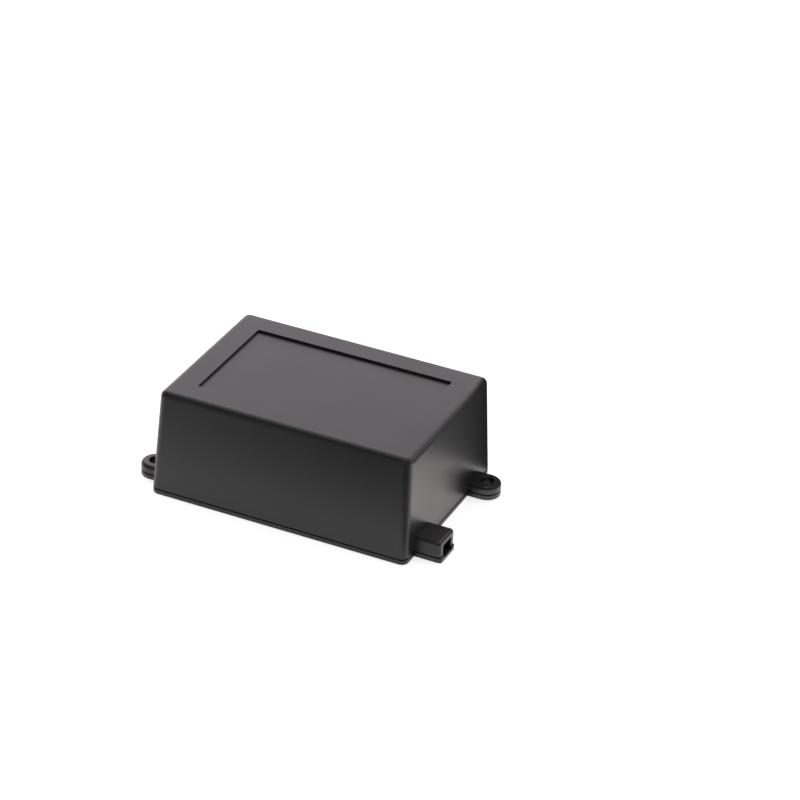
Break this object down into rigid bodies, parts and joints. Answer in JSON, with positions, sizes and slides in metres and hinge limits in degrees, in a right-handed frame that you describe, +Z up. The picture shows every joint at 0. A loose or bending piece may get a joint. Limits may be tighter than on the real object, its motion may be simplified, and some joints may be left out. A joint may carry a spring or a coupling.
{
  "type": "plastic project box",
  "caption": "Black moulded enclosure for electronics: deep drafted cover with a label recess on a shallow base plate, fixing ears on opposite corners and a cable nose.",
  "frame": {"origin": "centre of the underside of the base plate", "axes": "+X along the long side towards the cable nose, +Y from front to rear, +Z up through the cover, away from the wall"},
  "size_m": [0.1082, 0.0652, 0.0365],
  "materials": {
    "black_abs": "moulded, fine spark-eroded texture, satin",
    "zinc_plated_steel": "bright zinc plated"
  },
  "bodies": {
    "base": {"base_plate": "black_abs", "cover_screws": "zinc_plated_steel"},
    "cover": {"cover": "black_abs"}
  },
  "joints": [
    {"name": "cover_lift", "type": "slide", "parent": "base", "child": "cover", "axis": [0, 0, 1], "range_m": [0, 0.04]}
  ]
}
